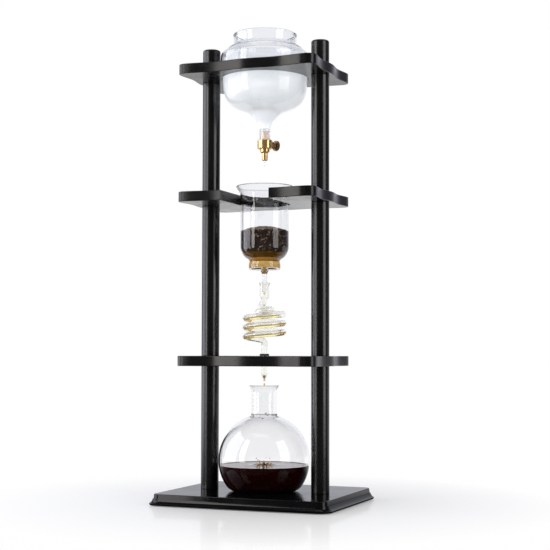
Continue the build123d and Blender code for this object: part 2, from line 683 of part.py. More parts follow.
def valve_knob():
    """The round knob with a fluted rim and a shallow dish in its face."""
    knob = bar(KNOB_R, KNOB_START, KNOB_END)
    knob = chamfer(knob.edges().filter_by(GeomType.CIRCLE), 0.5)
    for i in range(KNOB_FLUTES):
        angle = 360 * i / KNOB_FLUTES
        knob -= Rot(angle, 0, 0) * Pos(0, 0, KNOB_R + 0.35) * bar(0.65, KNOB_START - 1, KNOB_END + 1)
    knob -= bar(SPINDLE_R - 0.1 + RUNNING_GAP, 0, SPINDLE_END + RUNNING_GAP)
    knob -= bar(SCREW_R + RUNNING_GAP, 0, KNOB_END + 1)
    return along_spindle(knob)


def knob_screw():
    """The small slotted screw that holds the knob on the spindle."""
    screw = bar(SCREW_HEAD_R, KNOB_END + FIT_GAP, KNOB_END + SCREW_HEAD_H)
    screw = screw + bar(SCREW_R, KNOB_END - SCREW_DEPTH, KNOB_END + 0.5)
    slot_depth = 0.4
    slot = Pos(KNOB_END + SCREW_HEAD_H, 0, 0) * Box(2 * slot_depth, 2 * SCREW_HEAD_R, 0.6)
    return along_spindle(screw - slot)


def build_parts():
    """Every separate piece, by node name."""
    shelf_bottoms = [top - SHELF_THICKNESS for top in (LOWER_SHELF_TOP, MIDDLE_SHELF_TOP, TOP_SHELF_TOP)]
    parts = {
        "base_board": base_board(),
        "base_feet": base_feet(),
        "base_bolts": base_bolts(),
        "shelf_studs": shelf_studs(),
        "lower_shelf": shelf(LOWER_SHELF_TOP, Circle(GROMMET_HOLE_R)),
        "middle_shelf": shelf(MIDDLE_SHELF_TOP, slot_cutter()),
        "top_shelf": shelf(TOP_SHELF_TOP, Circle(VESSEL_HOLE_R)),
        "shelf_grommet": shelf_grommet(),
        "water_vessel": water_vessel(),
        "valve_sleeve": valve_sleeve(),
        "valve_body": valve_body(),
        "valve_nozzle": valve_nozzle(),
        "packing_ring": packing_ring(),
        "packing_nut": packing_nut(),
        "needle_spindle": needle_spindle(),
        "valve_knob": valve_knob(),
        "knob_screw": knob_screw(),
        "coffee_chamber": coffee_chamber(),
        "filter_disc": filter_disc(),
        "filter_gasket": filter_gasket(),
        "spiral_tube": spiral_tube(),
        "receiving_flask": receiving_flask(),
    }
    for side, x in (("left", -POST_X), ("right", POST_X)):
        parts["lower_post_" + side] = post(x, BASE_TOP, shelf_bottoms[0])
        parts["middle_post_" + side] = post(x, LOWER_SHELF_TOP, shelf_bottoms[1])
        parts["upper_post_" + side] = post(x, MIDDLE_SHELF_TOP, shelf_bottoms[2])
        parts["post_cap_" + side] = post_cap(x)
    return parts


os.makedirs("parts", exist_ok=True)
for name, solid in build_parts().items():
    export_step(solid, os.path.join("parts", name + ".step"))
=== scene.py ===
import json
import math
import random

import bmesh
import bpy
from mathutils import Matrix, Vector, noise
from mathutils.bvhtree import BVHTree

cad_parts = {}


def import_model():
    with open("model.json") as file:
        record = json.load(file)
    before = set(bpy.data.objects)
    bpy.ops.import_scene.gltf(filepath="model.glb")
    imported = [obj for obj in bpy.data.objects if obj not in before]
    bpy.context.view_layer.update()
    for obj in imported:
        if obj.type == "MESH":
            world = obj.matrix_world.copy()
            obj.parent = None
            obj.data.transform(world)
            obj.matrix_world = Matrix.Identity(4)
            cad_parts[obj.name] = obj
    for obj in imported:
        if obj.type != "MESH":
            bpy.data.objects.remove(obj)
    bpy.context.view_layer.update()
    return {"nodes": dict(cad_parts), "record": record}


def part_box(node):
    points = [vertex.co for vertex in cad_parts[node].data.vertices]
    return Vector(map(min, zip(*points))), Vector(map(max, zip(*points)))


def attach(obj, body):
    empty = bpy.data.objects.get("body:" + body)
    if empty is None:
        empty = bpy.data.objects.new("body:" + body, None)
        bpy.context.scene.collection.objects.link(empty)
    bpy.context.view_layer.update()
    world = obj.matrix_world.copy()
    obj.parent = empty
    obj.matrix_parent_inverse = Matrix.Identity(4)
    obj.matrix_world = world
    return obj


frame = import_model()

# ---- camera, in the row frame: metres and radians ----
CAMERA_PLACE = Vector((0.59988, -1.46332, 0.18142))
CAMERA_YAW = 0.38096
CAMERA_PITCH = 0.05965
CAMERA_ROLL = 0.0020
CAMERA_LENS = 84.71

# ---- contents, metres ----
OVERLAP = 0.00012
SEAM = 0.0001
WATER_FLOOR = 0.4562
WATER_LEVEL = 0.5215
WATER_DIP = 0.0009
RING_FLOOR = 0.2846
RING_TOP = 0.2920
BREW_LEVEL = 0.3040
GROUNDS_EDGE = 0.3298
GROUNDS_CROWN = 0.0055
OUTLET_BREW_Z = 0.2773
OUTLET_BREW_R = 0.0021
OUTLET_DROP_Z = 0.2515
COFFEE_FLOOR = 0.01585
COFFEE_LEVEL = 0.0446
SHOULDER_BEADS = 18
SHOULDER_ZONE = (0.1000, 0.1052)
SPLASH_ARMS = 9
SPLASH_BEADS = 7
SPLASH_RADIUS = 0.0066
SPLASH_SPREAD = 0.0046
BORE_R = 0.0027
COIL_R = 0.0231
COIL_PITCH = 0.011
COIL_FRONT_Z = 0.2246
MENISCUS = 0.0011

# ring wave, dent and short column where a drop lands: radius, and height above the coffee
RIPPLES = [
    (0.0118, 0.0002),
    (0.0095, 0.0007),
    (0.0072, -0.0006),
    (0.0045, -0.0009),
    (0.0026, 0.0),
    (0.0015, 0.0012),
    (0.0010, 0.0022),
    (0.0012, 0.0031),
    (0.0, 0.0040),
]

# ice cubes: middle, half sizes, turns about Z and X in radians
ICE_CUBES = [
    ((-0.020, -0.016, 0.5235), (0.0125, 0.0115, 0.0105), (0.4, 0.25)),
    ((0.018, -0.020, 0.5225), (0.0120, 0.0125, 0.0100), (1.1, -0.3)),
    ((0.024, 0.012, 0.5245), (0.0115, 0.0120, 0.0110), (2.0, 0.4)),
    ((-0.006, 0.023, 0.5230), (0.0125, 0.0110, 0.0105), (0.9, 0.2)),
    ((-0.028, 0.010, 0.5220), (0.0100, 0.0110, 0.0100), (2.6, -0.2)),
    ((0.000, 0.000, 0.5065), (0.0125, 0.0120, 0.0115), (0.2, 0.6)),
]

# ---- studio ----
WHITE = (1.0, 1.0, 1.0)
# tone from straight behind the camera (0) to straight behind the object (1)
STUDIO_TONES = [
    (0.0, (0.020, 0.020, 0.024)),
    (0.52, (0.036, 0.037, 0.046)),
    (0.72, (0.13, 0.135, 0.165)),
    (0.86, (0.42, 0.43, 0.50)),
    (0.96, (0.90, 0.92, 1.0)),
]
# how far rays refracted by the glass are lifted toward white
REFRACTED_LIFT = 0.70
DIFFUSE_SKY = (0.80, 0.80, 0.81)
FLOOR_RINGS = (0.3, 0.8, 2.0, 5.0, 14.0)
FLOOR_SIDES = 64
# distances from the tower's axis over which the floor turns white and loses its mirror
FLOOR_GLOW_ZONE = (0.08, 0.36)
FLOOR_MIRROR_ZONE = (0.24, 0.48)
# depths behind the tower's middle over which reflections see the floor brighten
FLOOR_DIM_ZONE = (0.02, 0.34)
# name, azimuth in degrees from straight in front, distance, height, size, watts, colour, height aimed at
SOFTBOXES = [
    ("softbox_left", -34, 0.95, 0.46, (0.27, 1.1), 5.6, (1.0, 0.97, 0.93), 0.30),
    ("panel_left", -72, 0.95, 0.46, (0.80, 1.1), 10.5, (0.86, 0.89, 1.0), 0.30),
    ("softbox_right", 76, 1.0, 0.46, (0.50, 1.1), 6.5, (1.0, 0.985, 0.97), 0.30),
    ("overhead", 10, 0.25, 1.9, (1.3, 1.3), 7.0, (1.0, 1.0, 1.0), 0.10),
]

random.seed(11)


# ---------------------------------------------------------------- node helpers


class Nodes:
    """A node tree with short calls for adding and joining nodes."""

    def __init__(self, tree):
        self.tree = tree

    def add(self, kind, **values):
        node = self.tree.nodes.new(kind)
        for key, value in values.items():
            if key in node.inputs:
                node.inputs[key].default_value = value
            else:
                setattr(node, key, value)
        return node

    def join(self, source, target):
        self.tree.links.new(source, target)

    def feed(self, socket, value):
        """A socket takes a number, a colour or another node's output."""
        if isinstance(value, (int, float)):
            socket.default_value = value
        elif isinstance(value, tuple):
            socket.default_value = (*value, 1.0)
        else:
            self.join(value, socket)

    def coords(self, scale=(1, 1, 1)):
        where = self.add("ShaderNodeTexCoord")
        mapping = self.add("ShaderNodeMapping", Scale=scale)
        self.join(where.outputs["Object"], mapping.inputs["Vector"])
        return mapping.outputs["Vector"]

    def noise(self, vector, scale, detail=3.0, rough=0.5, distortion=0.0):
        node = self.add("ShaderNodeTexNoise", Scale=scale, Detail=detail, Roughness=rough)
        node.inputs["Distortion"].default_value = distortion
        self.join(vector, node.inputs["Vector"])
        return node.outputs["Fac"]

    def cells(self, scale):
        """Random cells: each has its own colour and the distance from its middle."""
        node = self.add("ShaderNodeTexVoronoi", feature="F1", Scale=scale)
        self.join(self.coords(), node.inputs["Vector"])
        return node

    def cell_value(self, scale, channel):
        """One channel of each cell's own colour, and the distance from the cell's middle."""
        split = self.add("ShaderNodeSeparateColor")
        cells = self.cells(scale)
        self.join(cells.outputs["Color"], split.inputs["Color"])
        return split.outputs[channel], cells.outputs["Distance"]

    def ramp(self, fac, low, high, start=0.0, end=1.0):
        """The factor mapped from start..end to low..high."""
        node = self.add("ShaderNodeMapRange")
        node.inputs["From Min"].default_value = start
        node.inputs["From Max"].default_value = end
        node.inputs["To Min"].default_value = low
        node.inputs["To Max"].default_value = high
        self.join(fac, node.inputs["Value"])
        return node.outputs["Result"]

    def colours(self, fac, stops):
        node = self.add("ShaderNodeValToRGB")
        ramp = node.color_ramp
        while len(ramp.elements) < len(stops):
            ramp.elements.new(0.5)
        for element, (place, colour) in zip(ramp.elements, stops):
            element.position = place
            element.color = (*colour, 1.0)
        self.join(fac, node.inputs["Fac"])
        return node.outputs["Color"]

    def maths(self, operation, a, b):
        node = self.add("ShaderNodeMath", operation=operation)
        self.feed(node.inputs[0], a)
        self.feed(node.inputs[1], b)
        return node.outputs["Value"]

    def blend(self, factor, first, second):
        """Two colours mixed by a factor."""
        node = self.add("ShaderNodeMix", data_type="RGBA")
        self.feed(node.inputs[0], factor)
        self.feed(node.inputs[6], first)
        self.feed(node.inputs[7], second)
        return node.outputs[2]

    def mix_shaders(self, factor, first, second):
        node = self.add("ShaderNodeMixShader")
        self.feed(node.inputs["Fac"], factor)
        self.join(first, node.inputs[1])
        self.join(second, node.inputs[2])
        return node.outputs["Shader"]

    def bump(self, height, strength, distance, after=None):
        node = self.add("ShaderNodeBump", Strength=strength, Distance=distance)
        self.join(height, node.inputs["Height"])
        if after is not None:
            self.join(after, node.inputs["Normal"])
        return node.outputs["Normal"]

    def camera_depth(self, kind, source=None):
        """How far a world point, or a direction, reaches along the camera's view; the origin by default."""
        turn = self.add("ShaderNodeVectorTransform", vector_type=kind)
        turn.convert_from = "WORLD"
        turn.convert_to = "CAMERA"
        if source is None:
            turn.inputs["Vector"].default_value = (0, 0, 0)
        else:
            self.join(source, turn.inputs["Vector"])
        split = self.add("ShaderNodeSeparateXYZ")
        self.join(turn.outputs["Vector"], split.inputs["Vector"])
        return split.outputs["Z"]


class Graph(Nodes):
    """A new material around one principled shader."""

    def __init__(self, name):
        self.material = bpy.data.materials.new(name)
        self.material.use_nodes = True
        super().__init__(self.material.node_tree)
        self.bsdf = self.tree.nodes["Principled BSDF"]
        self.output = self.tree.nodes["Material Output"]

    def set(self, **values):
        for key, value in values.items():
            self.bsdf.inputs[key.replace("_", " ")].default_value = value

    def surface(self, colour, rough, normal):
        self.join(colour, self.bsdf.inputs["Base Color"])
        self.join(rough, self.bsdf.inputs["Roughness"])
        self.join(normal, self.bsdf.inputs["Normal"])

    def show(self, shader):
        self.join(shader, self.output.inputs["Surface"])

    def lets_lamps_through(self, tint=WHITE):
        """Shadow and diffuse rays pass straight through, so what stands behind the glass is lit."""
        path = self.add("ShaderNodeLightPath")
        either = self.maths("MAXIMUM", path.outputs["Is Shadow Ray"], path.outputs["Is Diffuse Ray"])
        clear = self.add("ShaderNodeBsdfTransparent", Color=(*tint, 1))
        self.show(self.mix_shaders(either, self.bsdf.outputs["BSDF"], clear.outputs["BSDF"]))


# ---------------------------------------------------------------- materials


def black_lacquer(name, grain_scale, gloss, shine, muted=0.0):
    """Black satin lacquer over fine wood grain, with orange peel and faint rub marks."""
    g = Graph(name)
    grain = g.noise(g.coords(grain_scale), 1.0, 5.0, 0.6, 0.4)
    peel = g.noise(g.coords(), 420.0, 2.0, 0.5)
    haze = g.noise(g.coords(), 26.0, 4.0, 0.55)
    rubs = g.noise(g.coords((60, 340, 340)), 1.0, 3.0, 0.7, 1.2)
    tone = g.colours(grain, [(0.3, (0.0024, 0.0024, 0.0028)), (0.75, (0.0052, 0.0050, 0.0056))])
    hazy = g.ramp(haze, gloss - 0.05, gloss + 0.06, 0.3, 0.7)
    rough = g.maths("ADD", hazy, g.ramp(rubs, 0.0, 0.05, 0.55, 0.8))
    fine = g.bump(peel, 0.05, 0.00003)
    g.surface(tone, rough, g.bump(grain, 0.10, 0.00003, fine))
    g.set(Specular_IOR_Level=shine)
    dark = g.add("ShaderNodeEmission", Strength=0.0)
    g.show(g.mix_shaders(muted, g.bsdf.outputs["BSDF"], dark.outputs["Emission"]))
    return g.material


def clear_glass(name, tint=(0.978, 0.980, 0.990), ripple=0.05):
    """Blown borosilicate glass: clear, faintly rippled, with a breath of haze."""
    g = Graph(name)
    waves = g.noise(g.coords((1, 1, 2.5)), 38.0, 2.0, 0.4)
    haze = g.noise(g.coords(), 70.0, 3.0, 0.6)
    g.join(g.bump(waves, ripple, 0.0004), g.bsdf.inputs["Normal"])
    g.join(g.ramp(haze, 0.0, 0.02, 0.4, 0.8), g.bsdf.inputs["Roughness"])
    g.set(Base_Color=(*tint, 1), Transmission_Weight=1.0, IOR=1.47, Specular_IOR_Level=0.5)
    g.lets_lamps_through((0.97, 0.975, 0.98))
    return g.material


def milky_water(name):
    """Melt water thick with fine frost: light passes, shapes behind it blur; a faint painted glow keeps it
    bright.
    """
    g = Graph(name)
    cloud = g.noise(g.coords((1, 1, 1.4)), 34.0, 5.0, 0.62, 0.8)
    tones = [(0.28, (0.88, 0.90, 0.90)), (0.5, (0.97, 0.97, 0.965)), (0.8, (0.995, 0.99, 0.985))]
    g.surface(g.colours(cloud, tones), g.ramp(cloud, 0.27, 0.56, 0.3, 0.8), g.bump(cloud, 0.10, 0.002))
    # The emission is a painted glow that keeps the water bright; the water is no lamp.
    g.set(Transmission_Weight=0.66, IOR=1.33, Emission_Color=(0.96, 0.96, 0.93, 1), Emission_Strength=0.07)
    g.lets_lamps_through((0.86, 0.88, 0.89))
    return g.material


def ice(name):
    """Clear ice with a cloudy core and fractured edges."""
    g = Graph(name)
    crack = g.noise(g.coords(), 130.0, 6.0, 0.7, 1.5)
    tone = g.colours(crack, [(0.35, (0.86, 0.9, 0.92)), (0.7, (0.985, 0.99, 1.0))])
    g.surface(tone, g.ramp(crack, 0.04, 0.35, 0.35, 0.75), g.bump(crack, 0.35, 0.001))
    g.set(Transmission_Weight=0.9, IOR=1.31)
    g.lets_lamps_through((0.93, 0.95, 0.96))
    return g.material


def water_drop(name, tone=(0.95, 0.98, 1.0)):
    """A bead of water with a faint ripple: clear, or grey where its tone is painted shade."""
    g = Graph(name)
    ripple = g.noise(g.coords(), 300.0, 1.0)
    g.join(g.bump(ripple, 0.05, 0.0002), g.bsdf.inputs["Normal"])
    g.set(Base_Color=(*tone, 1), Transmission_Weight=1.0, IOR=1.33, Roughness=0.0)
    g.lets_lamps_through()
    return g.material


def amber_brew(name, thin, thick, clarity, glow=0.0):
    """Coffee seen against the light: amber where thin, brown where deep, with slow swirls, and a painted
    glow where one is given.
    """
    g = Graph(name)
    swirl = g.noise(g.coords((1, 1, 1.8)), 90.0, 4.0, 0.6, 1.0)
    tone = g.colours(swirl, [(0.25, thick), (0.75, thin)])
    g.surface(tone, g.ramp(swirl, 0.02, 0.12, 0.3, 0.8), g.bump(swirl, 0.08, 0.0006))
    # The emission in the thin colour is a painted glow: light shining through the brew, put into the
    # surface.
    g.set(Transmission_Weight=clarity, IOR=1.34, Emission_Color=(*thin, 1), Emission_Strength=glow)
    g.lets_lamps_through(tuple(0.5 + 0.5 * c for c in thin))
    return g.material


def dark_coffee(name):
    """Brewed coffee: nearly black, with a painted red-brown rim light where the surface is seen at a
    glancing angle.
    """
    g = Graph(name)
    facing = g.add("ShaderNodeLayerWeight", Blend=0.35)
    swirl = g.noise(g.coords((1, 1, 2.2)), 42.0, 4.0, 0.6, 0.8)
    # Facing turns the surface red-brown where it is seen at a glancing angle: a painted rim light; the
    # swirl adds random tone.
    edge = g.maths("ADD", facing.outputs["Facing"], g.ramp(swirl, -0.12, 0.14, 0.3, 0.7))
    tones = [
        (0.30, (0.0075, 0.0006, 0.0005)),
        (0.62, (0.020, 0.0012, 0.0012)),
        (0.95, (0.09, 0.010, 0.008)),
    ]
    g.surface(g.colours(edge, tones), g.ramp(swirl, 0.04, 0.10, 0.3, 0.8), g.bump(swirl, 0.05, 0.0008))
    g.set(IOR=1.34, Specular_IOR_Level=0.22)
    return g.material


def coffee_grounds(name):
    """Wet ground coffee: dark grains with brown and pale specks, lighter over the top of the bed."""
    g = Graph(name)
    clumps = g.noise(g.coords(), 210.0, 5.0, 0.7)
    grain, grain_edge = g.cell_value(1150.0, "Red")
    flake, _ = g.cell_value(620.0, "Green")
    mixed = g.maths("ADD", g.maths("MULTIPLY", grain, 0.55), g.maths("MULTIPLY", clumps, 0.5))
    mixed = g.maths("ADD", mixed, g.ramp(flake, 0.0, 0.42, 0.86, 1.0))
    place = g.add("ShaderNodeSeparateXYZ")
    g.join(g.add("ShaderNodeTexCoord").outputs["Object"], place.inputs["Vector"])
    height = g.maths("ADD", place.outputs["Z"], g.ramp(clumps, -0.0012, 0.0012, 0.3, 0.7))
    # The bed's colour turns lighter from just below GROUNDS_EDGE up, over its top.
    lighter_top = g.ramp(height, 0.0, 0.34, GROUNDS_EDGE - 0.0012, GROUNDS_EDGE + 0.0012)
    tones = [
        (0.25, (0.0020, 0.0010, 0.0009)),
        (0.55, (0.0070, 0.0030, 0.0020)),
        (0.80, (0.034, 0.016, 0.009)),
        (0.97, (0.34, 0.25, 0.17)),
    ]
    tone = g.colours(g.maths("ADD", mixed, lighter_top), tones)
    relief = g.bump(g.maths("ADD", grain_edge, clumps), 0.8, 0.0006)
    g.surface(tone, g.ramp(clumps, 0.35, 0.75, 0.35, 0.7), relief)
    g.set(Specular_IOR_Level=0.15)
    return g.material


def turned_metal(name, light, dark, rough, stretch=(40, 40, 5200), metallic=1.0):
    """Polished metal with fine lathe rings about Z and a little tarnish."""
    g = Graph(name)
    rings = g.noise(g.coords(stretch), 1.0, 2.0, 0.5)
    tarnish = g.noise(g.coords(), 190.0, 5.0, 0.65)
    tone = g.colours(tarnish, [(0.3, dark), (0.62, light)])
    g.surface(tone, g.ramp(tarnish, rough + 0.12, rough, 0.3, 0.6), g.bump(rings, 0.12, 0.00004))
    g.set(Metallic=metallic)
    return g.material


def rubber(name, colour, rough):
    """Fine-grained rubber or plastic with a little dust."""
    g = Graph(name)
    grain = g.noise(g.coords(), 1500.0, 3.0, 0.6)
    dust = g.noise(g.coords(), 90.0, 4.0, 0.6)
    lighter = tuple(c * 1.8 + 0.004 for c in colour)
    tone = g.colours(dust, [(0.4, colour), (0.85, lighter)])
    g.surface(tone, g.ramp(grain, rough - 0.08, rough + 0.1, 0.3, 0.7), g.bump(grain, 0.25, 0.00008))
    return g.material


def translucent_silicone(name):
    """Cloudy pinkish silicone that lets light through."""
    g = Graph(name)
    cloud = g.noise(g.coords(), 160.0, 3.0, 0.5)
    tone = g.colours(cloud, [(0.3, (0.97, 0.86, 0.78)), (0.8, (1.0, 0.95, 0.91))])
    g.surface(tone, g.ramp(cloud, 0.25, 0.4, 0.3, 0.7), g.bump(cloud, 0.1, 0.0002))
    g.set(Transmission_Weight=0.75, IOR=1.41)
    g.lets_lamps_through((0.93, 0.92, 0.9))
    return g.material


def porous_ceramic(name):
    """The filter disc: fine pores, stained by coffee."""
    g = Graph(name)
    pores = g.cells(1400.0)
    stain = g.noise(g.coords(), 120.0, 4.0, 0.6)
    tone = g.colours(stain, [(0.3, (0.42, 0.24, 0.09)), (0.75, (0.72, 0.52, 0.28))])
    g.surface(tone, g.ramp(stain, 0.5, 0.75, 0.3, 0.7), g.bump(pores.outputs["Distance"], 0.5, 0.0003))
    return g.material


BOARD_GRAIN = (14, 260, 260)
POST_GRAIN = (260, 260, 14)
NO_RINGS = (300, 300, 300)
SHELF_BLACK = black_lacquer("black_lacquer_board", BOARD_GRAIN, 0.21, 0.28)
BASE_BLACK = black_lacquer("black_lacquer_base", BOARD_GRAIN, 0.12, 0.28, 0.30)
POST_BLACK = black_lacquer("black_lacquer_post", POST_GRAIN, 0.22, 0.46)
GLASS = clear_glass("borosilicate_glass")
THICK_GLASS = clear_glass("borosilicate_tube", (0.995, 0.988, 0.955), 0.02)
SMOKY_GLASS = clear_glass("borosilicate_vessel", (0.905, 0.917, 0.943))
MILKY_WATER = milky_water("milky_water")
ICE = ice("cloudy_ice")
DROP = water_drop("water_drop")
# Condensed beads are clear water; their grey tone is painted shade.
GREY_SHADED_BEAD = water_drop("condensed_bead", (0.45, 0.44, 0.46))
AMBER = amber_brew("amber_brew", (0.72, 0.50, 0.17), (0.42, 0.24, 0.06), 0.85)
GOLDEN = amber_brew("golden_brew", (0.97, 0.74, 0.30), (0.80, 0.50, 0.12), 0.9)
# Pale and coil brews carry a painted glow, the last number.
PALE_AMBER = amber_brew("pale_amber_brew", (1.0, 0.93, 0.60), (0.98, 0.84, 0.38), 1.0, 0.16)
COIL_AMBER = amber_brew("coil_amber_brew", (0.93, 0.62, 0.20), (0.62, 0.34, 0.07), 0.9, 0.06)
# Darker, cloudier amber for the coil brew's free surface: painted shade, the dark line the surface shows
# along the tube.
MENISCUS_SHADE_AMBER = amber_brew("meniscus_painted_shade", (0.34, 0.24, 0.08), (0.15, 0.08, 0.02), 0.3)
DEEP_AMBER = amber_brew("deep_amber_brew", (0.36, 0.17, 0.018), (0.14, 0.06, 0.006), 0.75)
COFFEE = dark_coffee("dark_coffee")
GROUNDS = coffee_grounds("wet_grounds")
BRASS = turned_metal("polished_brass", (0.82, 0.56, 0.26), (0.50, 0.30, 0.12), 0.15, metallic=0.85)
BRONZE = turned_metal("dark_bronze", (0.50, 0.30, 0.18), (0.26, 0.14, 0.08), 0.3, NO_RINGS, 0.85)
STEEL = turned_metal("plain_steel", (0.58, 0.58, 0.6), (0.4, 0.4, 0.42), 0.3)
RUBBER = rubber("black_rubber", (0.012, 0.012, 0.013), 0.6)
SILICONE = translucent_silicone("translucent_silicone")
PACKING = rubber("white_packing", (0.8, 0.8, 0.78), 0.45)
CERAMIC = porous_ceramic("porous_ceramic")

BY_SLOT = {
    "glass": GLASS,
    "brass": BRASS,
    "bronze": BRONZE,
    "steel": STEEL,
    "black_rubber": RUBBER,
    "silicone": SILICONE,
    "white_plastic": PACKING,
    "ceramic": CERAMIC,
}
BY_NODE = {
    "base_board": BASE_BLACK,
    "spiral_tube": THICK_GLASS,
    "water_vessel": SMOKY_GLASS,
}


def material_for(node, slot):
    if node in BY_NODE:
        return BY_NODE[node]
    if slot == "black_wood":
        return POST_BLACK if "post" in node else SHELF_BLACK
    return BY_SLOT[slot]


def dress_frame():
    """Smooth shading by angle and one material on every CAD node."""
    for part in frame["record"]["subparts"]:
        obj = frame["nodes"][part["node"]]
        for face in obj.data.polygons:
            face.use_smooth = True
        obj.data.set_sharp_from_angle(angle=math.radians(32))
        obj.data.materials.clear()
        obj.data.materials.append(material_for(part["node"], part["material_slot"]))


# ---------------------------------------------------------------- mesh helpers


def new_object(name, bm, material, body, smooth_angle=40.0):
    """A mesh object from a bmesh, smooth below the given angle, riding on a body."""
    mesh = bpy.data.meshes.new(name)
    bmesh.ops.recalc_face_normals(bm, faces=bm.faces)
    bm.to_mesh(mesh)
    bm.free()
    for face in mesh.polygons:
        face.use_smooth = True
    mesh.set_sharp_from_angle(angle=math.radians(smooth_angle))
    mesh.materials.append(material)
    obj = bpy.data.objects.new(name, mesh)
    bpy.context.collection.objects.link(obj)
    if body is not None:
        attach(obj, body)
    return obj


def lathe(profile, segments=96, centre=(0, 0), shape=None):
    """A closed turned mesh from (radius, z) points that start and end on the axis."""
    bm = bmesh.new()
    rings = []
    for radius, z in profile:
        if radius < 1e-7:
            rings.append([bm.verts.new((centre[0], centre[1], z))])
            continue
        ring = []
        for i in range(segments):
            a = 2 * math.pi * i / segments
            place = Vector((centre[0] + radius * math.cos(a), centre[1] + radius * math.sin(a), z))
            if shape is not None:
                place = shape(place)
            ring.append(bm.verts.new(place))
        rings.append(ring)
    for low, high in zip(rings, rings[1:]):
        for i in range(segments):
            j = (i + 1) % segments
            if len(low) == 1 and len(high) == 1:
                continue
            if len(low) == 1:
                bm.faces.new((low[0], high[j], high[i]))
            elif len(high) == 1:
                bm.faces.new((low[i], low[j], high[0]))
            else:
                bm.faces.new((low[i], low[j], high[j], high[i]))
    return bm


def join_rings(bm, rings, second_from=math.inf):
    """A closed skin over equal rings; sides from the given one on take the second material."""
    count = len(rings[0])
    for lower, upper in zip(rings, rings[1:]):
        for k in range(count):
            j = (k + 1) % count
            face = bm.faces.new((lower[k], lower[j], upper[j], upper[k]))
            face.material_index = 1 if k >= second_from else 0
    bm.faces.new(rings[0][::-1])
    bm.faces.new(rings[-1])


class Cavity:
    """The inside of a turned glass node, read from the frame's own mesh."""

    def __init__(self, node):
        mesh = frame["nodes"][node].data
        corners = [v.co.copy() for v in mesh.vertices]
        faces = [tuple(p.vertices) for p in mesh.polygons]
        self.tree = BVHTree.FromPolygons(corners, faces)

    def radius(self, z):
        """Inner wall radius at a height: the widest of several rays, since facets cut inside the circle."""
        widest = 0.0
        for i in range(24):
            a = 2 * math.pi * (i + 0.37) / 24
            hit = self.tree.ray_cast(Vector((0, 0, z)), Vector((math.cos(a), math.sin(a), 0)))
            if hit[0] is not None:
                widest = max(widest, hit[3])
        return widest

    def wall(self, low, high, count):
        """Points up the wall from low to high, a hair inside the glass."""
        points = []
        for i in range(count):
            z = low + (high - low) * i / (count - 1)
            points.append((self.radius(z) + OVERLAP, z))
        return points


def drop_profile(radius, height, z, count=14):
    """A hanging or falling drop from its round bottom, at the height z, to its pointed top."""
    points = [(0.0, z)]
    for i in range(1, count):
        t = i / count
        a = math.pi * t
        r = radius * math.sin(a) * (1 - 0.45 * t * t)
        points.append((r, height * (1 - math.cos(a)) / 2 * (0.75 + 0.25 * t) + z))
    points.append((0.0, height + z))
    return points


def drop(name, radius, height, z, material, body):
    """A drop on the tower's axis."""
    new_object(name, lathe(drop_profile(radius, height, z), 32), material, body)


# ---------------------------------------------------------------- contents


def vessel_water():
    wall = Cavity("water_vessel").wall(WATER_FLOOR, WATER_LEVEL - 0.0008, 56)
    edge = wall[-1][0]
    low_top = WATER_LEVEL - WATER_DIP
    top = [(edge, WATER_LEVEL - 0.0001), (edge - 0.0016, WATER_LEVEL - 0.0006), (edge * 0.6, low_top)]
    profile = [(0.0, WATER_FLOOR)] + wall + top + [(0.0, low_top)]
    new_object("ice_water", lathe(profile, 128), MILKY_WATER, "vessel")


def ice_cube(name, place, size, turn):
    """A rounded, slightly uneven block."""
    bm = bmesh.new()
    bmesh.ops.create_cube(bm, size=1.0)
    bmesh.ops.subdivide_edges(bm, edges=bm.edges, cuts=5, use_grid_fill=True)
    matrix = Matrix.Translation(place) @ Matrix.Rotation(turn[0], 4, "Z") @ Matrix.Rotation(turn[1], 4, "X")
    for v in bm.verts:
        p = v.co * 2
        blend = (abs(p.x) ** 5 + abs(p.y) ** 5 + abs(p.z) ** 5) ** (1 / 5)
        p = p / max(blend, 1e-6) * max(abs(p.x), abs(p.y), abs(p.z))
        wobble = 1 + 0.07 * noise.noise(Vector(v.co * 2.3) + Vector(place) * 90)
        v.co = matrix @ Vector((p.x * size[0], p.y * size[1], p.z * size[2]))
        v.co += (v.co - Vector(place)) * (wobble - 1)
    new_object(name, bm, ICE, "vessel", 60.0)


def ice_in_vessel():
    for i, (place, size, turn) in enumerate(ICE_CUBES):
        ice_cube(f"ice_cube_{i + 1}", place, size, turn)


def chamber_brews(inside):
    """Amber in the chamber's base ring, and deeper amber above it up to the grounds."""
    ring = [(0.0, RING_FLOOR)] + inside.wall(RING_FLOOR, RING_TOP, 16) + [(0.0, RING_TOP)]
    new_object("ring_brew", lathe(ring, 128), AMBER, "chamber", 30.0)
    low = RING_TOP + SEAM
    brew = [(0.0, low)] + inside.wall(low, BREW_LEVEL, 20) + [(0.0, BREW_LEVEL)]
    new_object("chamber_brew", lathe(brew, 128), DEEP_AMBER, "chamber", 30.0)


def grounds_bed(inside):
    """The coffee bed: against the glass at the side, domed and clumpy on top."""
    low = BREW_LEVEL - 0.0006
    wall = inside.wall(low, GROUNDS_EDGE, 30)
    edge = wall[-1][0]
    top = []
    for i in range(1, 16):
        t = i / 16
        top.append((edge * (1 - t), GROUNDS_EDGE + GROUNDS_CROWN * (1 - (1 - t) ** 2)))
    profile = [(0.0, low)] + wall + top + [(0.0, GROUNDS_EDGE + GROUNDS_CROWN)]

    def clumpy(place):
        """Clumps on the free top of the bed, and a ragged lower edge; the wall side stays on the glass."""
        seed = place * 260
        if place.z >= GROUNDS_EDGE - 0.0001:
            place.z += 0.0011 * noise.noise(seed) + 0.0005 * noise.noise(seed * 3)
        elif place.z > GROUNDS_EDGE - 0.004:
            place.z += 0.0007 * noise.noise(seed)
        elif place.z < low + 0.001:
            place.z += 0.0008 * noise.noise(seed * 0.7)
        return place

    new_object("coffee_grounds", lathe(profile, 160, shape=clumpy), GROUNDS, "chamber", 60.0)


